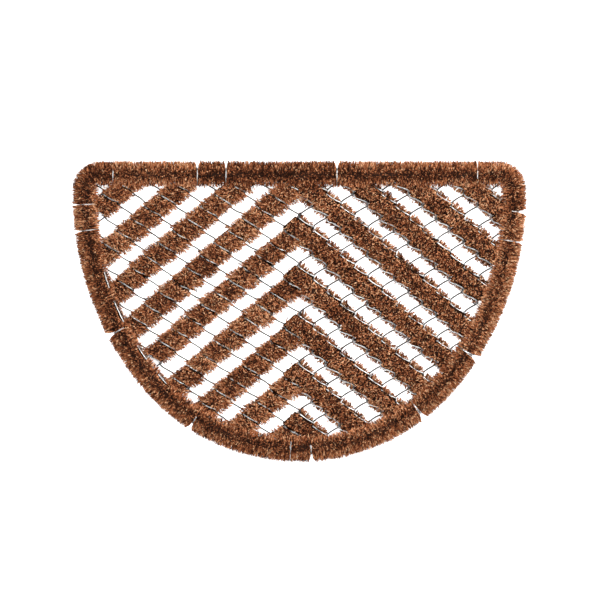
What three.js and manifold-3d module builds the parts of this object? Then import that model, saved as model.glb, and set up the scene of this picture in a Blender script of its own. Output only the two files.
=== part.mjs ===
// Half round wire brush doormat: coir rows in a zigzag wire mesh, hung in a bent steel rod, with a
// coir brush border tied round the rod. Millimetres, +X along the straight back edge, +Y towards it,
// +Z up. The origin is under the middle of the mat's box, on the ground.
import * as THREE from "three";
import { mergeVertices } from "three/addons/utils/BufferGeometryUtils.js";
import Module from "manifold-3d";

// Outline: a straight back with round corners, straight sides, two wide side arcs and a front arc.
const WIDTH = 600;
const DEPTH = 397;
const THICKNESS = 24;
const CORNER_RADIUS = 36;
const FRONT_RADIUS = 271;
const FRONT_HALF_ANGLE = THREE.MathUtils.degToRad(50);

// Border brush, measured inwards from the outline.
const BORDER_WIDTH = 34;
const BORDER_CHAMFER = 4;
const NICK_DEPTH = 12;
const NICK_HALF_WIDTH = 3.6;
const SLOT_FLOOR_ROOM = 1;

// Frame rod, mesh wire and tie wire.
const ROD_INSET = 27;
const ROD_RADIUS = 2.5;
const ROD_SIDES = 8;
const WIRE = 1.8;
const WIRE_OVERLAP = 0.2;

// Tie loop: half of its inner and outer profiles, as [distance from the outline, height off the wires].
const TIE_INNER_HALF = [
  [9.8, 3.2],
  [11.3, 5.2],
  [21, 5.2],
  [28.8, 2.9],
  [29.9, 1.8],
];
const TIE_OUTER_HALF = [
  [8, 3.8],
  [10.6, 7],
  [21.2, 7],
  [29.5, 4.6],
  [31.7, 2.5],
];

// Mesh: hooks stand in columns a pitch apart, and each column is half a cell out of step with the next.
const TOP_HOOK_Y = 125.3;
const LEFT_PITCH = 18.5;
const RIGHT_PITCH = 18.25;
const ROW_PITCH = 16.2;
const MESH_COLUMNS = 17;

// Coir rows: every second diagonal row of cells is filled, and its tufts fan out past the wires.
// Low is the side across the row with the smaller fan, and high is the side with the larger one.
const ROWS_APART = 4;
const LEFT_TUFT_FAN = { low: 1.8, high: 5.6 };
const RIGHT_TUFT_FAN = { low: 3.4, high: 5.2 };
const CHEVRON_FAN = 0.6;
const LEFT_BAND_FAN = 1;
const RIGHT_BAND_FAN = 0.2;
const TUFT_ROOT_ROOM = 0.7;
const TUFT_ROOT_DEPTH = 1;
const BAND_CHAMFER = 1.5;
const BAND_CHAMFER_HEIGHT = 2;
const BAND_SHOULDER_HEIGHT = 6;
const HIDDEN_REACH = 8;
const OUTERMOST_LEFT_ROW = -15;
const OUTERMOST_RIGHT_ROW = 15;
const ROWS_A_SIDE = 9;
const SHORT_ROWS = [-11, -7];
const SHORT_ROW_OPEN_SHARE = 0.55;

// Clearance between neighbours, what it needs more inside a bend, and how finely curves are cut.
const GAP = 0.3;
const BEND_ROOM = 0.15;
const ARC_STEP = 40;
const CORNER_STEPS = 4;
const SHORTEST_CHORD = 1;
const CUT_MARGIN = 1;
const MERGE_TOLERANCE = 1e-4;

// Ties, by their distance along the outline from the middle of the back edge, going left.
const TIES = [
  { name: "back_a", along: 97.5 },
  { name: "back_b", along: 135.5 },
  { name: "back_c", along: 247.5 },
  { name: "left_a", along: 341.5 },
  { name: "left_b", along: 377.5 },
  { name: "left_c", along: 523.5 },
  { name: "front_a", along: 688 },
  { name: "front_b", along: 830.5 },
  { name: "front_c", along: 859.5 },
  { name: "right_a", along: 1021.5 },
  { name: "right_b", along: 1127.5 },
  { name: "right_c", along: 1294 },
  { name: "right_d", along: 1335 },
  { name: "back_d", along: 1450 },
  { name: "back_e", along: 1636.5 },
];

const COIR = new THREE.MeshStandardMaterial({ color: 0x8a5a36, roughness: 1, metalness: 0 });
const STEEL = new THREE.MeshStandardMaterial({ color: 0xb9bcc0, roughness: 0.35, metalness: 1 });

const MIDDLE = THICKNESS / 2;
const UP = new THREE.Vector3(0, 0, 1);

const wasm = await Module();
wasm.setup();

// A solid for cutting and joining, from a closed geometry.
function toSolid(geometry) {
  const loose = geometry.index ? geometry.toNonIndexed() : geometry.clone();
  loose.deleteAttribute("normal");
  loose.deleteAttribute("uv");
  const merged = mergeVertices(loose, MERGE_TOLERANCE);
  return new wasm.Manifold(
    new wasm.Mesh({
      numProp: 3,
      vertProperties: merged.getAttribute("position").array,
      triVerts: new Uint32Array(merged.index.array),
    }),
  );
}

// A named mesh from a finished solid.
function toMesh(name, solid, material) {
  const { vertProperties, triVerts } = solid.getMesh();
  const geometry = new THREE.BufferGeometry();
  geometry.setAttribute("position", new THREE.BufferAttribute(vertProperties, 3));
  geometry.setIndex(new THREE.BufferAttribute(triVerts, 1));
  geometry.computeVertexNormals();
  const mesh = new THREE.Mesh(geometry, material);
  mesh.name = name;
  return mesh;
}

// A right prism on a polygon of [x, y] points, from z = 0 up to the given depth.
function prism(points, depth) {
  const shape = new THREE.Shape(points.map(([x, y]) => new THREE.Vector2(x, y)));
  return new THREE.ExtrudeGeometry(shape, { depth, bevelEnabled: false });
}

// The outline as one closed path, anticlockwise from the middle of the back edge.
function outlinePath() {
  const halfWidth = WIDTH / 2;
  const back = DEPTH / 2;
  const sine = Math.sin(FRONT_HALF_ANGLE);
  const sideRadius = (halfWidth - FRONT_RADIUS * sine) / (1 - sine);
  const frontY = FRONT_RADIUS - back;
  const sideY = frontY + (sideRadius - FRONT_RADIUS) * Math.cos(FRONT_HALF_ANGLE);
  const frontStart = 1.5 * Math.PI - FRONT_HALF_ANGLE;
  const frontEnd = 1.5 * Math.PI + FRONT_HALF_ANGLE;
  const cornerX = halfWidth - CORNER_RADIUS;
  const cornerY = back - CORNER_RADIUS;
  const path = new THREE.Path();
  path.moveTo(0, back);
  path.lineTo(-cornerX, back);
  path.absarc(-cornerX, cornerY, CORNER_RADIUS, Math.PI / 2, Math.PI, false);
  path.lineTo(-halfWidth, sideY);
  path.absarc(sideRadius - halfWidth, sideY, sideRadius, Math.PI, frontStart, false);
  path.absarc(0, frontY, FRONT_RADIUS, frontStart, frontEnd, false);
  path.absarc(halfWidth - sideRadius, sideY, sideRadius, frontEnd, 2 * Math.PI, false);
  path.lineTo(halfWidth, cornerY);
  path.absarc(cornerX, cornerY, CORNER_RADIUS, 0, Math.PI / 2, false);
  path.lineTo(0, back);
  return path;
}

const OUTLINE = outlinePath();
const PERIMETER = OUTLINE.getLength();

// The outline's frame at a distance along it: the point, the way along and the way inwards.
function frameAt(along) {
  const share = THREE.MathUtils.euclideanModulo(along, PERIMETER) / PERIMETER;
  const point = OUTLINE.getPoint(share);
  const tangent = OUTLINE.getTangent(share);
  return {
    point: new THREE.Vector3(point.x, point.y, 0),
    forward: new THREE.Vector3(tangent.x, tangent.y, 0),
    inward: new THREE.Vector3(-tangent.y, tangent.x, 0),
  };
}

// The matrix that stands a shape at a place on the outline.
function matrixAt(along, xAxis, yAxis, zAxis) {
  const frame = { ...frameAt(along), up: UP };
  const matrix = new THREE.Matrix4().makeBasis(frame[xAxis], frame[yAxis], frame[zAxis]);
  return matrix.setPosition(frame.point);
}

// The distances along the outline where its chords end: on every arc, and at every tie.
function chordEnds() {
  const ends = TIES.map((tie) => tie.along);
  let start = 0;
  for (const curve of OUTLINE.curves) {
    const length = curve.getLength();
    const isCorner = curve.isEllipseCurve && curve.xRadius === CORNER_RADIUS;
    let steps = 1;
    if (isCorner) steps = CORNER_STEPS;
    else if (curve.isEllipseCurve) steps = Math.ceil(length / ARC_STEP);
    for (let i = 0; i < steps; i += 1) {
      ends.push(start + (length * i) / steps);
    }
    start += length;
  }
  return ends.sort((a, b) => a - b);
}

const CHORD_ENDS = chordEnds();
const TIE_ROOM = WIRE / 2 + GAP + BEND_ROOM;

// The outline's polygon, moved inwards.
function insetPolygon(inset) {
  return CHORD_ENDS.map((along) => {
    const { point, inward } = frameAt(along);
    const moved = point.clone().addScaledVector(inward, inset);
    return [moved.x, moved.y];
  });
}

// Where each border section starts and ends, one tie to the next, with the chord ends between.
function sectionPlaces(index) {
  const start = TIES[index].along + TIE_ROOM;
  const next = TIES[(index + 1) % TIES.length].along;
  const end = (next > start ? next : next + PERIMETER) - TIE_ROOM;
  const laps = [...CHORD_ENDS, ...CHORD_ENDS.map((along) => along + PERIMETER)];
  const between = laps.filter((along) => along > start + SHORTEST_CHORD && along < end - SHORTEST_CHORD);
  return [start, ...between, end];
}

// A profile of [inset, height] points swept along the outline, with a ring at each place.
function bentExtrusion(profile, places) {
  const steps = places.length - 1;
  const shape = new THREE.Shape(profile.map(([x, y]) => new THREE.Vector2(x, y)));
  const geometry = new THREE.ExtrudeGeometry(shape, { depth: steps, steps, bevelEnabled: false });
  const corners = geometry.getAttribute("position");
  const corner = new THREE.Vector3();
  for (let i = 0; i < corners.count; i += 1) {
    corner.fromBufferAttribute(corners, i);
    const { point, inward } = frameAt(places[Math.round(corner.z)]);
    const bent = point.clone().addScaledVector(inward, corner.x).addScaledVector(UP, corner.y);
    corners.setXYZ(i, bent.x, bent.y, bent.z);
  }
  return geometry;
}

// One section of the border, with the slot in its inner side that holds the rod.
function bentSection(places) {
  const slotFloor = ROD_INSET - ROD_RADIUS - SLOT_FLOOR_ROOM;
  const slotLow = MIDDLE - ROD_RADIUS - GAP;
  const slotHigh = MIDDLE + ROD_RADIUS + GAP;
  const profile = [
    [0, BORDER_CHAMFER],
    [BORDER_CHAMFER, 0],
    [BORDER_WIDTH, 0],
    [BORDER_WIDTH, slotLow],
    [slotFloor, slotLow],
    [slotFloor, slotHigh],
    [BORDER_WIDTH, slotHigh],
    [BORDER_WIDTH, THICKNESS],
    [BORDER_CHAMFER, THICKNESS],
    [0, THICKNESS - BORDER_CHAMFER],
  ];
  return toSolid(bentExtrusion(profile, places));
}

// The V-shaped parting in the brush's outer edge at a tie.
function nick(along) {
  const outerHalf = TIE_ROOM + NICK_HALF_WIDTH;
  const geometry = prism(
    [
      [-outerHalf, -CUT_MARGIN],
      [outerHalf, -CUT_MARGIN],
      [TIE_ROOM / 2, NICK_DEPTH],
      [-TIE_ROOM / 2, NICK_DEPTH],
    ],
    THICKNESS + 2 * CUT_MARGIN,
  );
  geometry.translate(0, 0, -CUT_MARGIN);
  return toSolid(geometry.applyMatrix4(matrixAt(along, "forward", "inward", "up")));
}

// A tie: a flat wire loop that goes over and under the brush and round the rod.
function tieLoop(along) {
  const closed = (points) => [
    ...points.map(([x, y]) => new THREE.Vector2(x, MIDDLE - y)),
    ...points.map(([x, y]) => new THREE.Vector2(x, MIDDLE + y)).reverse(),
  ];
  const shape = new THREE.Shape(closed(TIE_OUTER_HALF));
  shape.holes.push(new THREE.Path(closed(TIE_INNER_HALF)));
  const geometry = new THREE.ExtrudeGeometry(shape, { depth: WIRE, bevelEnabled: false });
  geometry.translate(0, 0, -WIRE / 2);
  return toSolid(geometry.applyMatrix4(matrixAt(along, "inward", "up", "forward")));
}

// The room that the mesh leaves round a tie.
function tieRoom(along) {
  const near = ROD_INSET;
  const far = ROD_INSET + ROD_RADIUS + WIRE + 2 * GAP + BEND_ROOM;
  const geometry = prism(
    [
      [-TIE_ROOM, near],
      [TIE_ROOM, near],
      [TIE_ROOM, far],
      [-TIE_ROOM, far],
    ],
    THICKNESS,
  );
  return toSolid(geometry.applyMatrix4(matrixAt(along, "forward", "inward", "up")));
}

// The frame rod: a round bar bent once round the mat, so its two end faces meet and are left out.
function frameRod() {
  const profile = [];
  for (let side = 0; side < ROD_SIDES; side += 1) {
    const angle = (2 * Math.PI * (side + 0.5)) / ROD_SIDES;
    const reach = ROD_RADIUS / Math.cos(Math.PI / ROD_SIDES);
    profile.push([ROD_INSET + reach * Math.cos(angle), MIDDLE + reach * Math.sin(angle)]);
  }
  const bar = bentExtrusion(profile, [...CHORD_ENDS, CHORD_ENDS[0]]);
  const { start, count } = bar.groups.find((group) => group.materialIndex === 1);
  const sides = bar.getAttribute("position").array.slice(3 * start, 3 * (start + count));
  const ring = new THREE.BufferGeometry();
  ring.setAttribute("position", new THREE.BufferAttribute(sides, 3));
  return toSolid(ring);
}

// The place of a mesh hook or a cell's middle, by its column and row.
function latticePoint(column, row) {
  const pitch = column < 0 ? LEFT_PITCH : RIGHT_PITCH;
  return new THREE.Vector3(column * pitch, TOP_HOOK_Y - row * ROW_PITCH, 0);
}

// One straight strand of the mesh between two lattice points, with its middle at a height.
function strand(from, to, height) {
  const along = to.clone().sub(from);
  const geometry = new THREE.BoxGeometry(along.length() + WIRE, WIRE, WIRE);
  geometry.rotateZ(Math.atan2(along.y, along.x));
  const middle = from.clone().lerp(to, 0.5);
  return toSolid(geometry.translate(middle.x, middle.y, height));
}

// The mesh: front strands over back strands, crossing at the hooks, cut off inside the rod.
function wireMesh() {
  const front = MIDDLE + (WIRE - WIRE_OVERLAP) / 2;
  const back = MIDDLE - (WIRE - WIRE_OVERLAP) / 2;
  const room = toSolid(prism(insetPolygon(ROD_INSET + ROD_RADIUS + GAP), THICKNESS));
  const strands = [];
  for (let row = -2 * MESH_COLUMNS; row <= 3 * MESH_COLUMNS; row += 1) {
    if (row % 2 !== 0) continue;
    const hook = latticePoint(0, row);
    const ends = [
      { column: -MESH_COLUMNS, row: row - MESH_COLUMNS, height: front },
      { column: MESH_COLUMNS, row: row + MESH_COLUMNS, height: front },
      { column: -MESH_COLUMNS, row: row + MESH_COLUMNS, height: back },
      { column: MESH_COLUMNS, row: row - MESH_COLUMNS, height: back },
    ];
    for (const end of ends) {
      const cut = strand(hook, latticePoint(end.column, end.row), end.height).intersect(room);
      if (!cut.isEmpty()) strands.push(cut);
    }
  }
  const woven = TIES.reduce(
    (mesh, tie) => mesh.subtract(tieRoom(tie.along)),
    strands.reduce((mesh, piece) => mesh.add(piece)),
  );
  return woven.decompose().sort((a, b) => b.volume() - a.volume())[0];
}

// How far a point lies inside the outline.
function insetOf(point) {
  const nearest = CHORD_ENDS.map((along, index) => {
    const start = frameAt(along).point;
    const end = frameAt(CHORD_ENDS[(index + 1) % CHORD_ENDS.length]).point;
    return new THREE.Line3(start, end).closestPointToPoint(point, true, new THREE.Vector3());
  });
  const inside = nearest.every((_, index) => {
    const start = frameAt(CHORD_ENDS[index]);
    return point.clone().sub(start.point).dot(start.inward) > 0;
  });
  const distance = Math.min(...nearest.map((place) => place.distanceTo(point)));
  return inside ? distance : -distance;
}

// The two halves of the mat. A row runs along one cell vector and its tufts stand across the other.
const LEFT = {
  side: -1,
  run: new THREE.Vector3(-LEFT_PITCH, -ROW_PITCH, 0),
  across: new THREE.Vector3(LEFT_PITCH, -ROW_PITCH, 0),
  tuftsUp: true,
  tuftFan: LEFT_TUFT_FAN,
  bandFan: LEFT_BAND_FAN,
};
const RIGHT = {
  side: 1,
  run: new THREE.Vector3(RIGHT_PITCH, -ROW_PITCH, 0),
  across: new THREE.Vector3(RIGHT_PITCH, ROW_PITCH, 0),
  tuftsUp: false,
  tuftFan: RIGHT_TUFT_FAN,
  bandFan: RIGHT_BAND_FAN,
};

// The distance between a cell's opposite sides, by which its lengths are shared out.
function cellWidth(half) {
  return half.run.clone().cross(half.across).length() / half.run.length();
}

// The middles of one diagonal row's cells, from the centre column or the back edge outwards.
function rowCells(half, key) {
  const middles = [];
  for (let step = half === LEFT ? 1 : 0; step <= MESH_COLUMNS; step += 1) {
    const column = half.side * step;
    const row = half === LEFT ? key - column : column - key;
    const middle = latticePoint(column, row);
    if (insetOf(middle) > BORDER_WIDTH - HIDDEN_REACH) middles.push(middle);
  }
  return middles;
}

// The unbroken side of a row: a band with its waist at the wires, level with the ground.
function rowBand(half, cells, start) {
  const width = cellWidth(half);
  const edge = 0.5 + half.bandFan / width;
  const waist = 0.5 - (WIRE / 2 + GAP) / width;
  const waistLow = MIDDLE - WIRE - 2 * GAP;
  const top = MIDDLE - WIRE_OVERLAP / 2 - GAP;
  const section = [
    [edge - BAND_CHAMFER / width, 0],
    [edge, BAND_CHAMFER_HEIGHT],
    [edge, BAND_SHOULDER_HEIGHT],
    [waist, waistLow],
    [waist, top],
  ];
  const height = (z) => (half.tuftsUp ? z : THICKNESS - z);
  const points = [
    ...section.map(([x, z]) => [x, height(z)]),
    ...section.map(([x, z]) => [-x, height(z)]).reverse(),
  ];
  const first = start - waist;
  const last = cells.length - 1 + waist;
  const geometry = prism(points, last - first).translate(0, 0, first);
  return toSolid(geometry.applyMatrix4(rowMatrix(half, cells[0])));
}

// The matrix from a row's own measures, in cells across, up and along, to the mat.
function rowMatrix(half, origin) {
  return new THREE.Matrix4().makeBasis(half.across, UP, half.run).setPosition(origin);
}

// One tuft on the broken side of a row: a block that fans out from the wires to its trimmed tip.
// Where a right row meets a left one in a chevron, it hardly fans out towards it.
function tuft(half, middle, start) {
  const width = cellWidth(half);
  const waist = 0.5 - (WIRE / 2 + GAP + TUFT_ROOT_ROOM) / width;
  const tipZ = half.tuftsUp ? THICKNESS : 0;
  const rootZ = MIDDLE + (half.tuftsUp ? -TUFT_ROOT_DEPTH : TUFT_ROOT_DEPTH);
  const lowFan = middle.x === 0 ? CHEVRON_FAN : half.tuftFan.low;
  const geometry = new THREE.BoxGeometry(1, 1, 1);
  const corners = geometry.getAttribute("position");
  for (let i = 0; i < corners.count; i += 1) {
    const isHigh = corners.getY(i) > 0;
    const isTip = isHigh === half.tuftsUp;
    const isFar = corners.getX(i) > 0;
    const tip = 0.5 + (isFar ? half.tuftFan.high : lowFan) / width;
    const across = isTip ? tip : waist;
    const x = isFar ? across : -across;
    const z = corners.getZ(i) > 0 ? waist : start - waist;
    corners.setXYZ(i, x, isTip ? tipZ : rootZ, z);
  }
  return toSolid(geometry.applyMatrix4(rowMatrix(half, middle)));
}

// A row of coir, cut off where the border begins.
function coirRow(half, key, room) {
  const cells = rowCells(half, key);
  const start = half === LEFT && SHORT_ROWS.includes(key) ? SHORT_ROW_OPEN_SHARE : 0;
  const band = rowBand(half, cells, start);
  const row = cells.reduce(
    (solid, cell, index) => solid.add(tuft(half, cell, index === 0 ? start : 0)),
    band,
  );
  return row.intersect(room);
}

const doormat = new THREE.Group();
doormat.add(toMesh("frame_rod", frameRod(), STEEL));
doormat.add(toMesh("wire_mesh", wireMesh(), STEEL));

TIES.forEach((tie, index) => {
  const next = TIES[(index + 1) % TIES.length];
  const whole = bentSection(sectionPlaces(index));
  const section = whole.subtract(nick(tie.along)).subtract(nick(next.along));
  doormat.add(toMesh(`border_${tie.name}`, section, COIR));
  doormat.add(toMesh(`tie_${tie.name}`, tieLoop(tie.along), STEEL));
});

const rowRoom = toSolid(prism(insetPolygon(BORDER_WIDTH + GAP), THICKNESS));
for (let count = 0; count < ROWS_A_SIDE; count += 1) {
  const leftKey = OUTERMOST_LEFT_ROW + ROWS_APART * count;
  const rightKey = OUTERMOST_RIGHT_ROW - ROWS_APART * count;
  doormat.add(toMesh(`row_left_${count + 1}`, coirRow(LEFT, leftKey, rowRoom), COIR));
  doormat.add(toMesh(`row_right_${count + 1}`, coirRow(RIGHT, rightKey, rowRoom), COIR));
}

export default doormat;
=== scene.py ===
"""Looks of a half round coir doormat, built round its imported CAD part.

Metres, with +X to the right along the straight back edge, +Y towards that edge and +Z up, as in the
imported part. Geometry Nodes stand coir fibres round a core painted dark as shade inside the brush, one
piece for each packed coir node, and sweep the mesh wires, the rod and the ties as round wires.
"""

import logging
import math
from collections.abc import Iterator
from dataclasses import dataclass, field
from enum import Enum

import bpy
import numpy as np
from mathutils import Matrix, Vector

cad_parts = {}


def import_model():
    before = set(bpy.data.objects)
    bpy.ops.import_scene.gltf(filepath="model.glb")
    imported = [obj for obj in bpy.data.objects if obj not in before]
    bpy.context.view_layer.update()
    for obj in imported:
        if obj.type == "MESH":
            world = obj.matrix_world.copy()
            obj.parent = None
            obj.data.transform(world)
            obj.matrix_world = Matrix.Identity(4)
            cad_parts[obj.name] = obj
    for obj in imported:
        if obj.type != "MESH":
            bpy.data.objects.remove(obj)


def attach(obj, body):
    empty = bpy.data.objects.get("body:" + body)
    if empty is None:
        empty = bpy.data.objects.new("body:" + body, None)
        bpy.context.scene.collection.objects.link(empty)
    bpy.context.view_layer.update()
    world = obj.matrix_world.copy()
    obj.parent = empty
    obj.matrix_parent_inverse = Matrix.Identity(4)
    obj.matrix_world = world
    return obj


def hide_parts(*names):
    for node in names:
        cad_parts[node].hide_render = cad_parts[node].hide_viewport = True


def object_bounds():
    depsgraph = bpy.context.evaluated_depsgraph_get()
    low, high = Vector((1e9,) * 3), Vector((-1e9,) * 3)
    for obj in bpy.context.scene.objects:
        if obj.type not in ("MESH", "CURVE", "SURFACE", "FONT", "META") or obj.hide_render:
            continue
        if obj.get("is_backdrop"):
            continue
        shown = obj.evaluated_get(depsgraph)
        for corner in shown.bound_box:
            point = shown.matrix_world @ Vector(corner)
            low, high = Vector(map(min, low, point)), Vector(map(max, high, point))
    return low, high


BODY = "root"
UV_MAP = "OFBake"
# How bright each wire is painted: painted shade at 0, painted highlight at 1.
PAINTED_LIGHT = "polish"
# The mesh's rows of hooks from one coir row to the next.
ROWS_APART = 4

log = logging.getLogger("doormat")

Points = np.ndarray
Colour = tuple[float, float, float]
Pair = tuple[float, float]


class Half(Enum):
    """The two halves of the mat, whose rows run opposite ways."""

    LEFT = "left"
    RIGHT = "right"


class Face(Enum):
    """The two trimmed faces of the brush, by the way they look."""

    TOP = 1.0
    UNDERSIDE = -1.0


# Nodes, objects and attributes


class Signal:
    """A node's output socket, on which Python operators build Math nodes."""

    def __init__(self, maker: "NodeMaker", socket: bpy.types.NodeSocket) -> None:
        """Wraps an output, with the maker that adds the nodes the operators need."""
        self.maker = maker
        self.socket = socket

    def _math(self, operation: str, first: "Signal | float", second: "Signal | float") -> "Signal":
        """The result of a Math node on two values."""
        return self.maker.node("ShaderNodeMath", {"operation": operation}, {0: first, 1: second}).out()

    def __add__(self, other: "Signal | float") -> "Signal":
        """The sum."""
        return self._math("ADD", self, other)

    __radd__ = __add__

    def __sub__(self, other: "Signal | float") -> "Signal":
        """The difference."""
        return self._math("SUBTRACT", self, other)

    def __rsub__(self, other: "Signal | float") -> "Signal":
        """The difference, with this signal taken from the other."""
        return self._math("SUBTRACT", other, self)

    def __mul__(self, other: "Signal | float") -> "Signal":
        """The product."""
        return self._math("MULTIPLY", self, other)

    __rmul__ = __mul__

    def __truediv__(self, other: "Signal | float") -> "Signal":
        """The quotient."""
        return self._math("DIVIDE", self, other)

    def __rtruediv__(self, other: "Signal | float") -> "Signal":
        """The quotient, with the other divided by this signal."""
        return self._math("DIVIDE", other, self)

    def clamped(self) -> "Signal":
        """The value held between 0 and 1."""
        return self._math("MINIMUM", self._math("MAXIMUM", self, 0.0), 1.0)


class Node:
    """One node of a tree, whose outputs are read as signals."""

    def __init__(self, maker: "NodeMaker", node: bpy.types.Node) -> None:
        """Wraps a node and keeps its maker."""
        self.maker = maker
        self.node = node

    def out(self, key: str | int = 0) -> Signal:
        """The output with this name, or in this place."""
        return Signal(self.maker, socket_of(self.node.outputs, key))


def socket_of(sockets: bpy.types.bpy_prop_collection, key: str | int) -> bpy.types.NodeSocket:
    """Finds a node's socket.

    Args:
        sockets: the node's inputs or outputs.
        key: the socket's name, or its place.

    Returns:
        The socket in that place, or the one in use that has that name.
    """
    if isinstance(key, int):
        return sockets[key]
    return next(socket for socket in sockets if socket.name == key and socket.enabled)


class NodeMaker:
    """Adds nodes to one tree."""

    def __init__(self, tree: bpy.types.NodeTree) -> None:
        """Starts on a tree."""
        self.tree = tree

    def node(self, kind: str, settings: dict | None = None, inputs: dict | None = None) -> Node:
        """Adds a node.

        Args:
            kind: the node's type.
            settings: its own settings, which are set first. Stops are a colour ramp's places and colours.
            inputs: the value, signal or node for each of its sockets, by name or place.

        Returns:
            The new node.
        """
        made = self.tree.nodes.new(kind)
        for name, value in (settings or {}).items():
            if name == "stops":
                self._set_stops(made.color_ramp, value)
            else:
                setattr(made, name, value)
        for key, value in (inputs or {}).items():
            for one in value if isinstance(value, list) else [value]:
                self._feed(socket_of(made.inputs, key), one)
        return Node(self, made)

    def _feed(self, socket: bpy.types.NodeSocket, value: object) -> None:
        """Links or sets one input.

        Args:
            socket: the input.
            value: a signal, a node whose first output is meant, or a plain value.
        """
        if isinstance(value, Node):
            value = value.out()
        if isinstance(value, Signal):
            self.tree.links.new(value.socket, socket)
        else:
            socket.default_value = value

    @staticmethod
    def _set_stops(ramp: bpy.types.ColorRamp, stops: tuple[tuple[float, Colour], ...]) -> None:
        """Gives a colour ramp its stops.

        Args:
            ramp: the ramp, which has two stops at first.
            stops: the place and colour of each stop, in order.
        """
        while len(ramp.elements) < len(stops):
            ramp.elements.new(1.0)
        for element, (place, colour) in zip(ramp.elements, stops, strict=True):
            element.position = place
            element.color = (*colour, 1.0)

    def ramp(self, factor: Signal, stops: tuple[tuple[float, Colour], ...]) -> Node:
        """A colour ramp with these stops, read at the factor."""
        return self.node("ShaderNodeValToRGB", {"stops": stops}, {"Fac": factor})

    def mixed(self, factor: Signal | float, first: object, second: object, blend: str = "MIX") -> Signal:
        """A colour mixed from two by a factor."""
        inputs = {"Factor": factor, "A": first, "B": second}
        return self.node("ShaderNodeMix", {"data_type": "RGBA", "blend_type": blend}, inputs).out("Result")

    def noise(self, place: Signal, scale: float, detail: float) -> Signal:
        """Noise over a place, from 0 to 1."""
        inputs = {"Vector": place, "Scale": scale, "Detail": detail}
        return self.node("ShaderNodeTexNoise", None, inputs).out()


class Program(NodeMaker):
    """A Geometry Nodes tree with named inputs, and the modifier run that turns it into a plain mesh."""

    def __init__(self, name: str, material: bpy.types.Material) -> None:
        """Makes an empty program.

        Args:
            name: the tree's name.
            material: the material that its results get.
        """
        super().__init__(bpy.data.node_groups.new(name, "GeometryNodeTree"))
        self.material = material
        self.identifiers: dict[str, str] = {}
        self.tree.interface.new_socket("Geometry", in_out="INPUT", socket_type="NodeSocketGeometry")
        self.tree.interface.new_socket("Geometry", in_out="OUTPUT", socket_type="NodeSocketGeometry")
        self.entry = Node(self, self.tree.nodes.new("NodeGroupInput"))

    def parameter(self, name: str, kind: str = "NodeSocketFloat") -> Signal:
        """Adds a named input, which each run sets.

        Args:
            name: the input's name.
            kind: its socket type.

        Returns:
            The input as a signal inside the tree.
        """
        made = self.tree.interface.new_socket(name, in_out="INPUT", socket_type=kind)
        self.identifiers[name] = made.identifier
        return self.entry.out(name)

    def attribute(self, name: str, kind: str = "FLOAT") -> Signal:
        """The value of a named attribute."""
        return self.node("GeometryNodeInputNamedAttribute", {"data_type": kind}, {"Name": name}).out()

    def stored(
        self, geometry: Node | Signal, name: str, value: Signal, kind: str = "FLOAT", domain: str = "POINT"
    ) -> Node:
        """The geometry with a value stored on it as a named attribute."""
        inputs = {"Geometry": geometry, "Name": name, "Value": value}
        return self.node("GeometryNodeStoreNamedAttribute", {"data_type": kind, "domain": domain}, inputs)

    def mapped(self, geometry: Node, across: Signal, up: Signal) -> Node:
        """The geometry with its UV map."""
        place = self.node("ShaderNodeCombineXYZ", None, {"X": across, "Y": up}).out()
        return self.stored(geometry, UV_MAP, place, "FLOAT2", "CORNER")

    def finish(self, geometry: Node) -> None:
        """Ends the tree: shades smooth, realises the instances and sets the material.

        Args:
            geometry: what comes out of the tree.
        """
        material = self.parameter("Material", "NodeSocketMaterial")
        smooth = self.node("GeometryNodeSetShadeSmooth", None, {"Geometry": geometry})
        realised = self.node("GeometryNodeRealizeInstances", None, {"Geometry": smooth})
        dressed = self.node("GeometryNodeSetMaterial", None, {"Geometry": realised, "Material": material})
        self.node("NodeGroupOutput", None, {"Geometry": dressed})

    def run(self, piece: bpy.types.Object, values: dict[str, object]) -> None:
        """Runs the tree on a piece and leaves the result as the piece's plain mesh.

        Args:
            piece: the mesh object that goes into the tree.
            values: the named inputs' values, apart from the material.
        """
        modifier = piece.modifiers.new(self.tree.name, "NODES")
        modifier.node_group = self.tree
        for name, value in {**values, "Material": self.material}.items():
            modifier[self.identifiers[name]] = value
        graph = bpy.context.evaluated_depsgraph_get()
        mesh = bpy.data.meshes.new_from_object(piece.evaluated_get(graph))
        piece.modifiers.remove(modifier)
        source, piece.data = piece.data, mesh
        bpy.data.meshes.remove(source)
        mesh.name = piece.name


def add_object(name: str, data: bpy.types.ID) -> bpy.types.Object:
    """Makes an object for some data and links it into the scene.

    Args:
        name: the object's name.
        data: its mesh, camera or light.

    Returns:
        The object, at the origin.
    """
    made = bpy.data.objects.new(name, data)
    bpy.context.scene.collection.objects.link(made)
    return made


def set_attribute(mesh: bpy.types.Mesh, name: str, numbers: Points, kind: str = "FLOAT") -> None:
    """Stores a named attribute on a mesh's points."""
    key = "vector" if kind == "FLOAT_VECTOR" else "value"
    mesh.attributes.new(name, kind, "POINT").data.foreach_set(key, numbers.ravel())


def signed_power(values: Points | float, power: float) -> Points | float:
    """Raises the size of a value to a power and keeps its sign."""
    return np.sign(values) * np.abs(values) ** power


# Finishes


@dataclass(frozen=True)
class Finish:
    """What every finish shares: a name, and a look that feeds one shader."""

    name: str

    def material(self) -> bpy.types.Material:
        """Builds the material.

        Returns:
            The finish's material.
        """
        material = bpy.data.materials.new(self.name)
        material.use_nodes = True
        material.node_tree.nodes.clear()
        maker = NodeMaker(material.node_tree)
        shader = maker.node("ShaderNodeBsdfPrincipled", None, self.look(maker))
        maker.node("ShaderNodeOutputMaterial", None, {"Surface": shader})
        return material

    def look(self, maker: NodeMaker) -> dict[str, object]:
        """The shader's inputs, which each finish gives."""
        raise NotImplementedError


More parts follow.
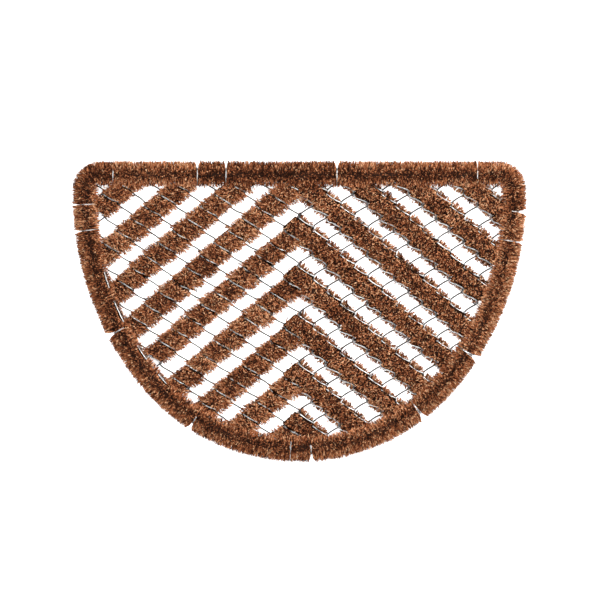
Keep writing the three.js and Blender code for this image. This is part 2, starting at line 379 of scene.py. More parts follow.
@dataclass(frozen=True)
class CoirFinish(Finish):
    """Coir: orange brown at the fibres' cut ends, fading towards their roots to nearly black as painted
    shade deep in the packed brush.

    The piece's UV map holds the fibre's tint across it and the place along the fibre up it.
    """

    name: str = "coir_fibre"
    # The root colour is painted shade, deep in the packed brush.
    root: Colour = (0.010, 0.0035, 0.0015)
    tints: tuple[tuple[float, Colour], ...] = (
        (0.0, (0.034, 0.010, 0.005)),
        (0.25, (0.17, 0.050, 0.021)),
        (0.5, (0.42, 0.137, 0.055)),
        (0.75, (0.69, 0.285, 0.13)),
        (1.0, (0.90, 0.52, 0.29)),
    )
    tip_gain: float = 1.4
    smoothest: float = 0.55
    roughness_range: float = 0.3
    specular: float = 0.06

    def look(self, maker: NodeMaker) -> dict[str, object]:
        """Colours a fibre by its tint, fading to the painted shade of the root colour towards its root, and
        roughens the darker ones.

        Args:
            maker: adds the material's nodes.

        Returns:
            The shader's inputs.
        """
        place = maker.node("ShaderNodeUVMap", {"uv_map": UV_MAP})
        parts = maker.node("ShaderNodeSeparateXYZ", None, {0: place})
        tint, height = parts.out("X"), parts.out("Y")
        # Painted shade: the lower a place along the fibre, the more of the nearly black root colour it gets.
        lit = (height * height * self.tip_gain).clamped()
        return {
            "Base Color": maker.mixed(lit, (*self.root, 1.0), maker.ramp(tint, self.tints)),
            "Roughness": self.smoothest + self.roughness_range * (1 - tint),
            "Specular IOR Level": self.specular,
        }


@dataclass(frozen=True)
class SteelFinish(Finish):
    """Galvanised steel wire, painted bright as a painted highlight where it lies on the coir, and dark as
    painted shade in the open gaps and under the brush.
    """

    name: str = "galvanised_wire"
    # The colours of the painted highlight and the painted shade, between which the painted light runs.
    bright: Colour = (0.92, 0.92, 0.91)
    dark: Colour = (0.06, 0.055, 0.05)
    dulling: tuple[tuple[float, Colour], ...] = ((0.35, (1.0, 1.0, 1.0)), (0.75, (0.55, 0.56, 0.58)))
    patch_scale: float = 90.0
    patch_detail: float = 4.0
    mark_scale: float = 1400.0
    mark_detail: float = 2.0
    smoothest: float = 0.18
    roughness_range: float = 0.3
    bump_distance: float = 0.00008
    bump_strength: float = 0.35

    def look(self, maker: NodeMaker) -> dict[str, object]:
        """Colours the wire by its painted light, from painted shade to painted highlight, with duller and
        rougher patches and small marks.

        Args:
            maker: adds the material's nodes.

        Returns:
            The shader's inputs.
        """
        place = maker.node("ShaderNodeTexCoord").out("Object")
        patches = maker.noise(place, self.patch_scale, self.patch_detail)
        marks = maker.noise(place, self.mark_scale, self.mark_detail)
        polish = maker.node("ShaderNodeAttribute", {"attribute_name": PAINTED_LIGHT}).out("Fac")
        # Painted light: the wire's colour runs from painted shade to painted highlight.
        painted_colour = maker.mixed(polish, (*self.dark, 1.0), (*self.bright, 1.0))
        relief = {"Height": marks, "Distance": self.bump_distance, "Strength": self.bump_strength}
        return {
            "Base Color": maker.mixed(1.0, painted_colour, maker.ramp(patches, self.dulling), "MULTIPLY"),
            "Roughness": self.smoothest + self.roughness_range * patches,
            "Normal": maker.node("ShaderNodeBump", None, relief),
            "Metallic": 1.0,
        }


@dataclass(frozen=True)
class FloorFinish(Finish):
    """The studio's white floor, which is lit from within so that it stays white in the mat's gaps."""

    name: str = "studio_floor"
    colour: Colour = (0.9, 0.9, 0.9)
    roughness: float = 0.9
    glow_colour: Colour = (1.0, 1.0, 1.0)
    glow: float = 0.95

    def look(self, maker: NodeMaker) -> dict[str, object]:
        """The shader's inputs, which are the same all over."""
        glow = {"Emission Color": (*self.glow_colour, 1.0), "Emission Strength": self.glow}
        return {"Base Color": (*self.colour, 1.0), "Roughness": self.roughness, **glow}


# The mat's plan


@dataclass(frozen=True)
class Outline:
    """The mat's outline: a straight back, round back corners, straight sides, side arcs and a front arc.

    Distances along it start at the middle of the back edge and go left, anticlockwise.
    """

    width: float
    depth: float
    corner_radius: float = 0.036
    front_radius: float = 0.271
    front_half_angle: float = math.radians(50)
    sample_step: float = 0.002
    chunk: int = 6000

    def stretches(self) -> list[Pair]:
        """The outline's straight and round stretches.

        Returns:
            The length and the curvature of each, in order.
        """
        half = self.width / 2
        back = self.depth / 2
        sine = math.sin(self.front_half_angle)
        side_radius = (half - self.front_radius * sine) / (1 - sine)
        front_y = self.front_radius - back
        side_y = front_y + (side_radius - self.front_radius) * math.cos(self.front_half_angle)
        edge = (half - self.corner_radius, 0.0)
        corner = (self.corner_radius * math.pi / 2, 1 / self.corner_radius)
        side = (back - self.corner_radius - side_y, 0.0)
        side_arc = (side_radius * (math.pi / 2 - self.front_half_angle), 1 / side_radius)
        front_arc = (self.front_radius * 2 * self.front_half_angle, 1 / self.front_radius)
        return [edge, corner, side, side_arc, front_arc, side_arc, side, corner, edge]

    @property
    def length(self) -> float:
        """The way once round."""
        return sum(length for length, _ in self.stretches())

    @staticmethod
    def _run(start: Points, heading: float, curvature: float, distance: Points) -> tuple[Points, Points]:
        """Follows one stretch.

        Args:
            start: where it starts.
            heading: the way it leaves there.
            curvature: how much it bends.
            distance: some distances along it.

        Returns:
            The points at those distances, and the headings.
        """
        angle = heading + curvature * distance
        if curvature:
            x = (np.sin(angle) - math.sin(heading)) / curvature
            y = (math.cos(heading) - np.cos(angle)) / curvature
        else:
            x, y = distance * math.cos(heading), distance * math.sin(heading)
        return start + np.stack([x, y], 1), angle

    def at(self, along: Points) -> tuple[Points, Points, Points]:
        """The outline at some distances along it.

        Args:
            along: the distances.

        Returns:
            The points, the unit vectors inwards, and the curvatures.
        """
        along = np.mod(along, self.length)
        start = np.array([0.0, self.depth / 2])
        heading = math.pi
        point = np.zeros((len(along), 2))
        inward = np.zeros((len(along), 2))
        bend = np.zeros(len(along))
        begun = 0.0
        for length, curvature in self.stretches():
            here = (along >= begun) & (along <= begun + length)
            point[here], angle = self._run(start, heading, curvature, along[here] - begun)
            inward[here] = np.stack([-np.sin(angle), np.cos(angle)], 1)
            bend[here] = curvature
            (start,), (heading,) = self._run(start, heading, curvature, np.array([length]))
            begun += length
        return point, inward, bend

    def inset(self, points: Points) -> Points:
        """How far points lie inside the outline.

        Args:
            points: the points, of which x and y are read.

        Returns:
            The distances inwards.
        """
        on_line, inward, _ = self.at(np.arange(0.0, self.length, self.sample_step))
        found = [np.zeros(0)]
        for first in range(0, len(points), self.chunk):
            part = points[first : first + self.chunk, :2]
            nearest = ((part[:, None] - on_line[None]) ** 2).sum(2).argmin(1)
            found.append(((part - on_line[nearest]) * inward[nearest]).sum(1))
        return np.concatenate(found)

    def place(self, along: Points, inset: Points, height: Points) -> Points:
        """The points at some distances along the outline, distances inwards and heights."""
        point, inward, _ = self.at(along)
        return np.column_stack([point + inward * inset[:, None], height])


@dataclass(frozen=True)
class Lattice:
    """The wire mesh's plan: hooks in columns, each column half a cell out of step with the next."""

    top_hook_y: float = 0.1253
    left_pitch: float = 0.0185
    right_pitch: float = 0.01825
    row_pitch: float = 0.0162

    def point(self, column: int, row: int) -> Points:
        """A hook or a cell's middle, by its column from the mat's middle and its row from the top hook."""
        pitch = self.left_pitch if column < 0 else self.right_pitch
        return np.array([column * pitch, self.top_hook_y - row * self.row_pitch])


class Bundle(Enum):
    """The coir that a section of the border is made from, by how much lighter it is."""

    DARK = -0.12
    PLAIN = 0.0
    LIGHT = 0.1
    PALE = 0.17


@dataclass(frozen=True)
class Tie:
    """One tie wire: where it stands along the outline, how the brush is parted, and what follows it."""

    along: float
    half_gap: float
    depth: float
    slit: float = 0.0006
    bundle: Bundle = Bundle.PLAIN


TIES = {
    "back_a": Tie(0.0975, 0.0015, 0.014, bundle=Bundle.DARK),
    "back_b": Tie(0.1355, 0.0022, 0.015, bundle=Bundle.LIGHT),
    "back_c": Tie(0.2475, 0.0, 0.013, 0.0004),
    "left_a": Tie(0.3415, 0.0009, 0.010, bundle=Bundle.PALE),
    "left_b": Tie(0.3775, 0.0016, 0.014, 0.0007),
    "left_c": Tie(0.5235, 0.0036, 0.013, 0.0008),
    "front_a": Tie(0.688, 0.0027, 0.011),
    "front_b": Tie(0.8305, 0.0, 0.012),
    "front_c": Tie(0.8595, 0.0026, 0.011, bundle=Bundle.LIGHT),
    "right_a": Tie(1.0215, 0.0038, 0.020, 0.0005, Bundle.LIGHT),
    "right_b": Tie(1.1275, 0.0042, 0.020, 0.0010, Bundle.PALE),
    "right_c": Tie(1.294, 0.0015, 0.008, 0.0006, Bundle.PALE),
    "right_d": Tie(1.335, 0.0026, 0.018, 0.0005),
    "back_d": Tie(1.450, 0.0008, 0.008),
    "back_e": Tie(1.6365, 0.0023, 0.013, bundle=Bundle.DARK),
}


# Coir


@dataclass
class Fibres:
    """Straight coir fibres: their two ends, how light they are, and how far up the map they start, which is
    painted light: starting higher up leaves out part of the painted shade at the root.
    """

    roots: Points
    tips: Points
    tints: Points
    bases: Points

    @staticmethod
    def joined(groups: list["Fibres"]) -> "Fibres":
        """Several groups as one."""
        columns = zip(*((one.roots, one.tips, one.tints, one.bases) for one in groups), strict=True)
        return Fibres(*(np.concatenate(column) for column in columns))

    def kept(self, mask: Points) -> "Fibres":
        """The fibres for which the mask is true."""
        return Fibres(self.roots[mask], self.tips[mask], self.tints[mask], self.bases[mask])


@dataclass(frozen=True)
class Clumps:
    """How fibres gather into small clumps, each with its own shade, height and lean."""

    size: float = 0.0017
    centre_span: Pair = (0.1, 0.9)
    pull: float = 0.7
    shade: float = 0.31
    drop: float = 0.0016
    lean: float = 0.0040
    overshoot: float = 0.0007
    tuck: float = 0.9

    def gathered(self, rng: np.random.Generator, places: Points) -> tuple[Points, Points, Points, Points]:
        """Gathers places into clumps.

        Args:
            rng: the source of what is random.
            places: where fibres end, in two measures.

        Returns:
            The moved places, how much lighter each is, how much lower, and how far its root is aside.
        """
        cells = np.floor(places / self.size)
        found, which = np.unique(cells, axis=0, return_inverse=True)
        which = which.ravel()
        count = len(found)
        centres = (found + rng.uniform(*self.centre_span, found.shape)) * self.size
        moved = places + self.pull * (centres[which] - places)
        shades = rng.normal(0, self.shade, count)
        drops = np.abs(rng.normal(0, self.drop, count))
        leans = rng.normal(0, self.lean, (count, 2))
        return moved, shades[which], drops[which], leans[which]


@dataclass
class Core:
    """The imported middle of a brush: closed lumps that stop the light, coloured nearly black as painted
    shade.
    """

    vertices: list[Points] = field(default_factory=list)
    faces: list[tuple[int, ...]] = field(default_factory=list)

    def add_loft(self, rings: Points) -> None:
        """Adds a closed form through rings of points, with a pole at each end.

        Args:
            rings: the rings, each an equal number of points, turning so that the faces look outwards.
        """
        start = sum(len(part) for part in self.vertices)
        levels, count, _ = rings.shape
        self.vertices += [rings.reshape(-1, 3), rings[[0, -1]].mean(1)]
        low_pole = start + levels * count
        last = low_pole - count
        for i in range(count):
            after = (i + 1) % count
            self.faces.append((low_pole, start + after, start + i))
            self.faces.append((low_pole + 1, last + i, last + after))
            for low in range(start, last, count):
                high = low + count
                self.faces.append((low + i, low + after, high + after, high + i))


class FibreProgram(Program):
    """The Geometry Nodes tree that turns loose points into fibres and joins them to the core."""

    TINT_INSET = 0.01
    SIDE_SHARE = 0.004

    def __init__(self, material: bpy.types.Material) -> None:
        """Builds the tree.

        Args:
            material: the coir's material.
        """
        super().__init__("coir_fibres", material)
        width = self.parameter("Fibre Width")
        spread = self.parameter("Width Spread")
        tint_spread = self.parameter("Tint Spread")
        bundling = self.parameter("Bundling")
        seed = self.parameter("Seed", "NodeSocketInt")
        choice = {"Geometry": self.entry.out("Geometry"), "Selection": self.attribute("is_fibre", "BOOLEAN")}
        parted = self.node("GeometryNodeSeparateGeometry", {"domain": "POINT"}, choice)
        tint, base = self.attribute("tint"), self.attribute("base")
        varied = (tint + self._random(-1.0, 1.0, seed) * tint_spread).clamped()
        points = self.stored(parted.out("Selection"), "tint", varied)
        fibres = self._instances(points, width * (bundling * base + 1), spread, seed)
        drawn = self.node("GeometryNodeRealizeInstances", None, {"Geometry": fibres})
        across = tint * (1 - 2 * self.TINT_INSET) + self.TINT_INSET
        across = across + self.attribute("side") * self.SIDE_SHARE
        # Up the map runs the place along the fibre, painted darker towards the root as shade; a fibre's base
        # starts it higher up, as painted light.
        mapped = self.mapped(drawn, across, base + (1 - base) * self.attribute("height"))
        parts = [mapped, parted.out("Inverted")]
        self.finish(self.node("GeometryNodeJoinGeometry", None, {"Geometry": parts}))

    def _random(self, low: float, high: float, seed: Signal) -> Signal:
        """A random number between two for each point."""
        inputs = {"Min": low, "Max": high, "Seed": seed}
        return self.node("FunctionNodeRandomValue", {"data_type": "FLOAT"}, inputs).out("Value")

    def _fibre(self) -> Node:
        """One fibre a unit long and wide: a sliver with its two ends cut square, at right angles.

        Returns:
            The fibre, with its height and its side stored on it.
        """
        cuts = []
        for start, offset in (((-0.5, 0.0, 0.0), (1.0, 0.0, 0.0)), ((0.0, -0.5, 1.0), (0.0, 1.0, 0.0))):
            inputs = {"Count": 2, "Start Location": start, "Offset": offset}
            cuts.append(self.node("GeometryNodeMeshLine", {"mode": "OFFSET"}, inputs))
        ends = self.node("GeometryNodeJoinGeometry", None, {"Geometry": cuts})
        sliver = self.node("GeometryNodeConvexHull", None, {"Geometry": ends})
        place = self.node("ShaderNodeSeparateXYZ", None, {0: self.node("GeometryNodeInputPosition")})
        tall = self.stored(sliver, "height", place.out("Z"))
        return self.stored(tall, "side", (place.out("X") + place.out("Y")) * 2.0)

    def _instances(self, points: Node, width: Signal, spread: Signal, seed: Signal) -> Node:
        """Stands a fibre on every point, along the point's reach.

        Args:
            points: the points.
            width: the mean width of a fibre.
            spread: how much the width varies, as a share of it.
            seed: the seed of what is random.

        Returns:
            The node with the instances.
        """
        reach = self.attribute("reach", "FLOAT_VECTOR")
        length = self.node("ShaderNodeVectorMath", {"operation": "LENGTH"}, {0: reach}).out("Value")
        aimed = self.node("FunctionNodeAlignRotationToVector", {"axis": "Z"}, {"Vector": reach})
        spin = {"Axis": (0.0, 0.0, 1.0), "Angle": self._random(0.0, math.tau, seed + 1)}
        turn = self.node("FunctionNodeAxisAngleToRotation", None, spin)
        turns = {"Rotation": aimed, "Rotate By": turn}
        turned = self.node("FunctionNodeRotateRotation", {"rotation_space": "LOCAL"}, turns)
        thick = width * (self._random(-1.0, 1.0, seed + 2) * spread + 1.0)
        size = self.node("ShaderNodeCombineXYZ", None, {"X": thick, "Y": thick, "Z": length})
        inputs = {"Points": points, "Instance": self._fibre(), "Rotation": turned, "Scale": size}
        return self.node("GeometryNodeInstanceOnPoints", None, inputs)


@dataclass
class Brush:
    """What every piece of coir brush shares: its trimmed height, its fibres and how it is made."""

    outline: Outline
    program: FibreProgram
    seed: int
    thickness: float
    clumps: Clumps = Clumps()
    fibre_width: float = 0.00080
    width_spread: float = 0.3
    tint_spread: float = 0.2
    bundling: float = 1.7
    top_density: float = 0.93e6
    underside_share: float = 0.42
    hidden_share: float = 0.4
    lean: float = 0.0012
    root_rise: float = 0.003
    ragged: float = 0.0010
    shuffle: float = 0.0004
    edge_power: int = 4
    trim_roughness: float = 0.0006
    short_share: float = 0.4
    short_drop: float = 0.0045
    core_tint: Pair = (0.5, 0.4)
    core_tint_waves: Pair = (60.0, 50.0)
    core_height: Pair = (0.05, 0.03)
    core_height_waves: Pair = (70.0, 90.0)

    @property
    def middle(self) -> float:
        """The height of the wires, halfway up the brush."""
        return self.thickness / 2

    def density(self, face: Face) -> float:
        """How many fibres end at a face, for each square metre."""
        return self.top_density * (1 if face is Face.TOP else self.underside_share)

    def overhang(self, drops: Points) -> Points:
        """How far each clump at an edge sticks out of it, by how low it ends: the low ones stay inside."""
        return self.clumps.overshoot - self.clumps.tuck * drops

    def trimmed(self, rng: np.random.Generator, drops: Points, face: Face) -> Points:
        """Where fibres end at a trimmed face: nearly level, with many cut or bent short.

        Args:
            rng: the source of what is random.
            drops: how far below the face each fibre's clump ends.
            face: the face.

        Returns:
            Their heights.
        """
        count = len(drops)
        short = drops + np.abs(rng.normal(0, self.trim_roughness, count))
        lower = rng.random(count) < self.short_share
        short[lower] += rng.uniform(0, self.short_drop, lower.sum())
        return self.middle + face.value * (self.middle - short)

    def make(self, name: str, node: str, fibres: Fibres, core: Core) -> bpy.types.Object:
        """Makes the piece from its fibres and core.

        Args:
            name: the piece's name.
            node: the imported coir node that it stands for.
            fibres: its fibres.
            core: its core.

        Returns:
            The finished piece.
        """
        packed = np.concatenate(core.vertices)
        starts = fibres.roots + self.hidden_share * (fibres.tips - fibres.roots)
        mesh = bpy.data.meshes.new(name)
        mesh.from_pydata(np.concatenate([packed, starts]).tolist(), [], core.faces)
        self._set_core_map(mesh)
        blank = np.zeros(len(packed))
        reach = np.concatenate([np.zeros((len(packed), 3)), fibres.tips - starts])
        set_attribute(mesh, "reach", reach, "FLOAT_VECTOR")
        set_attribute(mesh, "tint", np.concatenate([blank, fibres.tints]))
        set_attribute(mesh, "base", np.concatenate([blank, fibres.bases]))
        set_attribute(mesh, "is_fibre", np.arange(len(reach)) >= len(packed), "BOOLEAN")
        piece = add_object(name, mesh)
        values = {
            "Fibre Width": self.fibre_width,
            "Width Spread": self.width_spread,
            "Tint Spread": self.tint_spread,
            "Bundling": self.bundling,
            "Seed": self.seed,
        }
        self.program.run(piece, values)
        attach(piece, BODY)
        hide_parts(node)
        return piece

    def _set_core_map(self, mesh: bpy.types.Mesh) -> None:
        """Gives the core places on the coir map in the nearly black root colour, a little apart, so that the
        core is painted dark as shade inside the packed brush.

        Args:
            mesh: the mesh whose faces are the core's.
        """
        layer = mesh.uv_layers.new(name=UV_MAP)
        corner = np.zeros(len(mesh.loops), np.int32)
        mesh.loops.foreach_get("vertex_index", corner)
        place = np.zeros(len(mesh.vertices) * 3)
        mesh.vertices.foreach_get("co", place)
        x, y, z = place.reshape(-1, 3)[corner].T
        across_wave = np.sin(x * self.core_tint_waves[0] + z * self.core_tint_waves[1])
        up_wave = np.sin(y * self.core_height_waves[0] + z * self.core_height_waves[1])
        across = self.core_tint[0] + self.core_tint[1] * across_wave
        # Low on the map: the core gets the painted shade of the root colour.
        up = self.core_height[0] + self.core_height[1] * up_wave
        layer.uv.foreach_set("vector", np.column_stack([across, up]).ravel())


@dataclass
class BorderBrush(Brush):
    """One section of the border: a brush that fans out from a spine all round, trimmed square."""

    band: float = 0.034
    spine_inset: float = 0.0172
    spine_share: float = 0.12
    lean_share: float = 0.6
    valley_depth: float = 0.0016
    valley_width: float = 0.0062
    base_tint: float = 0.415
    valley_painted_shade: float = 0.2
    side_density: float = 0.42e6
    side_margin: float = 0.0015
    side_trim: float = 0.0004
    side_fan: float = 0.4
    side_root: float = 0.004
    slit_inset: float = 0.011
    slit_half: float = 0.0010
    rounding: float = 0.0018
    rounding_depth: float = 0.0035
    looseness: float = 0.0008
    waver: float = 0.2
    bare_inset: float = 0.0268
    bare_half: float = 0.0015
    bare_end: float = 0.006
    bare_stretches: tuple[Pair, ...] = ((0.439, 0.464), (0.4825, 0.5165), (0.5555, 0.5785), (0.605, 0.629))
    core_step: float = 0.006
    core_reach: float = 0.0105
    core_height_reach: float = 0.0065
    core_squareness: float = 0.7
    core_sides: int = 8
    core_end_room: float = 0.0016

    def build(
        self, name: str, start: Tie, end: Tie, length: float, partings: tuple[float, ...]
    ) -> bpy.types.Object:
        """Builds the section between two ties.

        Args:
            name: the name of the tie where it starts.
            start: that tie.
            end: the next tie.
            length: how far apart they are along the outline.
            partings: the distances along the outline where the brush is parted with no tie.

        Returns:
            The finished piece.
        """
        rng = np.random.default_rng(self.seed)
        groups = [self._face(rng, length, start.along, face) for face in Face]
        groups.append(self._side(rng, length))
        fibres = Fibres.joined([self._placed(rng, group, start, end, length, partings) for group in groups])
        fibres.tints += start.bundle.value
        core = Core()
        core.add_loft(self._core_rings(start, length))
        return self.make(f"coir_border_{name}", f"border_{name}", fibres, core)

    def _face(self, rng: np.random.Generator, length: float, start: float, face: Face) -> Fibres:
        """Fibres that end at a trimmed face, in the border's own measures: along, inset and height.

        Args:
            rng: the source of what is random.
            length: the section's length.
            start: where the section starts along the outline.
            face: the face.

        Returns:
            The fibres, with the distance along counted from the section's start.
        """
        count = round(self.density(face) * length * self.band)
        places = np.column_stack([rng.uniform(0, length, count), rng.uniform(0, self.band, count)])
        curvature = self.outline.at(start + places[:, 0])[2]
        places = places[rng.random(count) < 1 - curvature * places[:, 1]]
        tips, shades, drops, leans = self.clumps.gathered(rng, places)
        count = len(tips)
        off = places[:, 1] - self.spine_inset
        share = np.minimum(np.abs(off) / self.spine_inset, 1)
        valley = np.exp(-((off / self.valley_width) ** 2))
        height = self.trimmed(rng, drops + self.valley_depth * valley, face)
        leans = self.lean_share * leans + rng.normal(0, self.lean, (count, 2))
        root_inset = self.spine_inset + self.spine_share * off + leans[:, 1]
        root_height = self.middle + face.value * rng.uniform(0, self.root_rise, count)
        edge = share**self.edge_power * np.sign(off)
        tips[:, 1] += edge * (self.overhang(drops) + rng.normal(0, self.ragged, count))
        tips[:, 0] += rng.normal(0, self.shuffle, count)
        # Painted shade: fibres in the valley along the spine are painted darker.
        tints = self.base_tint - self.valley_painted_shade * valley + shades
        roots = np.column_stack([places[:, 0] + leans[:, 0], root_inset, root_height])
        return Fibres(roots, np.column_stack([tips, height]), tints, np.zeros(count))

    def _side(self, rng: np.random.Generator, length: float) -> Fibres:
        """Fibres that end at the outer edge, between the two faces.

        Args:
            rng: the source of what is random.
            length: the section's length.

        Returns:
            The fibres, with the distance along counted from the section's start.
        """
        count = round(self.side_density * length * self.thickness)
        heights = rng.uniform(self.side_margin, self.thickness - self.side_margin, count)
        places = np.column_stack([rng.uniform(0, length, count), heights])
        tips, shades, drops, leans = self.clumps.gathered(rng, places)
        inset = rng.normal(0, self.ragged, count) - self.overhang(drops)
        height = np.clip(tips[:, 1], self.side_trim, self.thickness - self.side_trim)
        root_height = self.middle + self.side_fan * (heights - self.middle)
        root_along = places[:, 0] + self.lean_share * leans[:, 0]
        root_inset = np.full(count, self.spine_inset - self.side_root)
        roots = np.column_stack([root_along, root_inset, root_height])
        tips = np.column_stack([tips[:, 0], inset, height])
        return Fibres(roots, tips, self.base_tint + shades, np.zeros(count))

    def _placed(
        self,
        rng: np.random.Generator,
        fibres: Fibres,
        start: Tie,
        end: Tie,
        length: float,
        partings: tuple[float, ...],
    ) -> Fibres:
        """Parts the fibres at the ties and over the bare stretches of the rod, and bends them round.

        Args:
            rng: the source of what is random.
            fibres: the fibres in the border's own measures.
            start: the first tie.
            end: the last tie.
            length: how far apart they are.
            partings: the places parted with no tie.

        Returns:
            The fibres in the mat's frame.
        """
        tips, roots = fibres.tips, fibres.roots
        loose = rng.uniform(0, self.looseness, len(tips))
        low = self._half_gap(start, tips[:, 1]) + loose
        high = length - self._half_gap(end, tips[:, 1]) - loose
        tips[:, 0] = np.clip(tips[:, 0], low, high)
        roots[:, 0] = np.clip(roots[:, 0], start.slit, length - end.slit)
        whole = self.outline.length
        for place in partings:
            off = np.mod(tips[:, 0] + start.along - place + whole / 2, whole) - whole / 2
            half = self.slit_half * np.clip(1 - tips[:, 1] / self.slit_inset, 0, 1) + self.waver * loose
            tips[:, 0] += self._push(off, half)
        tips[:, 0] += start.along
        roots[:, 0] += start.along
        for first, last in self.bare_stretches:
            off = tips[:, 1] - self.bare_inset
            ends = np.minimum(tips[:, 0] - first, last - tips[:, 0])
            half = self.bare_half * np.clip(ends / self.bare_end, 0, 1) + self.waver * loose
            over = (ends > 0) & (tips[:, 2] > self.middle)
            tips[over, 1] += self._push(off, half)[over]
            inner = (off > 0) & over
            roots[inner, 1] = np.maximum(roots[inner, 1], self.bare_inset + self.bare_half)
        roots, tips = self.outline.place(*roots.T), self.outline.place(*tips.T)
        return Fibres(roots, tips, fibres.tints, fibres.bases)

    @staticmethod
    def _push(off: Points, half: Points) -> Points:
        """How far points at some offsets from a line move, to stand clear of it by half a gap."""
        return np.where(np.abs(off) < half, np.where(off < 0, -half, half) - off, 0.0)

    def _half_gap(self, tie: Tie, inset: Points) -> Points:
        """Half the gap at a tie, which is widest at the outer edge and round at its corners.

        Args:
            tie: the tie.
            inset: distances inwards.

        Returns:
            Half the gap at each.
        """
        flare = np.clip(1 - inset / tie.depth, 0, 1)
        round_off = np.clip(1 - inset / self.rounding_depth, 0, 1) ** 2
        open_share = min(1.0, tie.half_gap / self.rounding)
        gap = tie.slit + (tie.half_gap - tie.slit) * flare + self.rounding * open_share * round_off
        return np.maximum(gap, 0.0)

    def _core_rings(self, start: Tie, length: float) -> Points:
        """The rings of the section's core, an oval round the spine.

        Args:
            start: the first tie.
            length: the section's length.

        Returns:
            The rings.
        """
        steps = max(3, round(length / self.core_step))
        along = start.along + np.linspace(self.core_end_room, length - self.core_end_room, steps)
        rings = []
        for angle in np.linspace(0, math.tau, self.core_sides, endpoint=False):
            reach = signed_power(np.cos(angle), self.core_squareness) * self.core_reach
            rise = signed_power(np.sin(angle), self.core_squareness) * self.core_height_reach
            inset = np.full(steps, self.spine_inset + reach)
            rings.append(self.outline.place(along, inset, np.full(steps, self.middle + rise)))
        return np.stack(rings, 1)


@dataclass(frozen=True)
class Side:
    """One side of a tuft: how far it reaches past the cell's side, and how round it is."""

    reach: float
    rounding: float


@dataclass(frozen=True)
class RowPlan:
    """How the rows of one half run, and how their tufts reach past the cell's sides.

    Each pair of sides is low and high: the high side is the one that the across vector points to. A
    shear moves a cell's far end towards the high side, and its near end as far the other way. The
    groove's two numbers are how far along the row it lies at the row's middle, and its slant. The taper
    is how much narrower a tuft is at its far end than at its middle, as a share. The paler number is
    added to the tint of the half's coir.
    """

    run: Pair
    across: Pair
    tuft_face: Face
    tuft: tuple[Side, Side]
    band: tuple[Side, Side]
    tuft_shear: float
    band_shear: float
    groove: Pair
    taper: float
    paler: float

    @property
    def length(self) -> float:
        """The length of a cell along the row."""
        return math.hypot(*self.run)

    @property
    def width(self) -> float:
        """The distance between a cell's sides, across the row."""
        (rx, ry), (ax, ay) = self.run, self.across
        return abs(rx * ay - ry * ax) / self.length

    @property
    def outwards(self) -> Points:
        """The unit vector across the row, towards the high side."""
        normal = np.array([-self.run[1], self.run[0]]) / self.length
        return normal * np.sign(normal @ self.across)


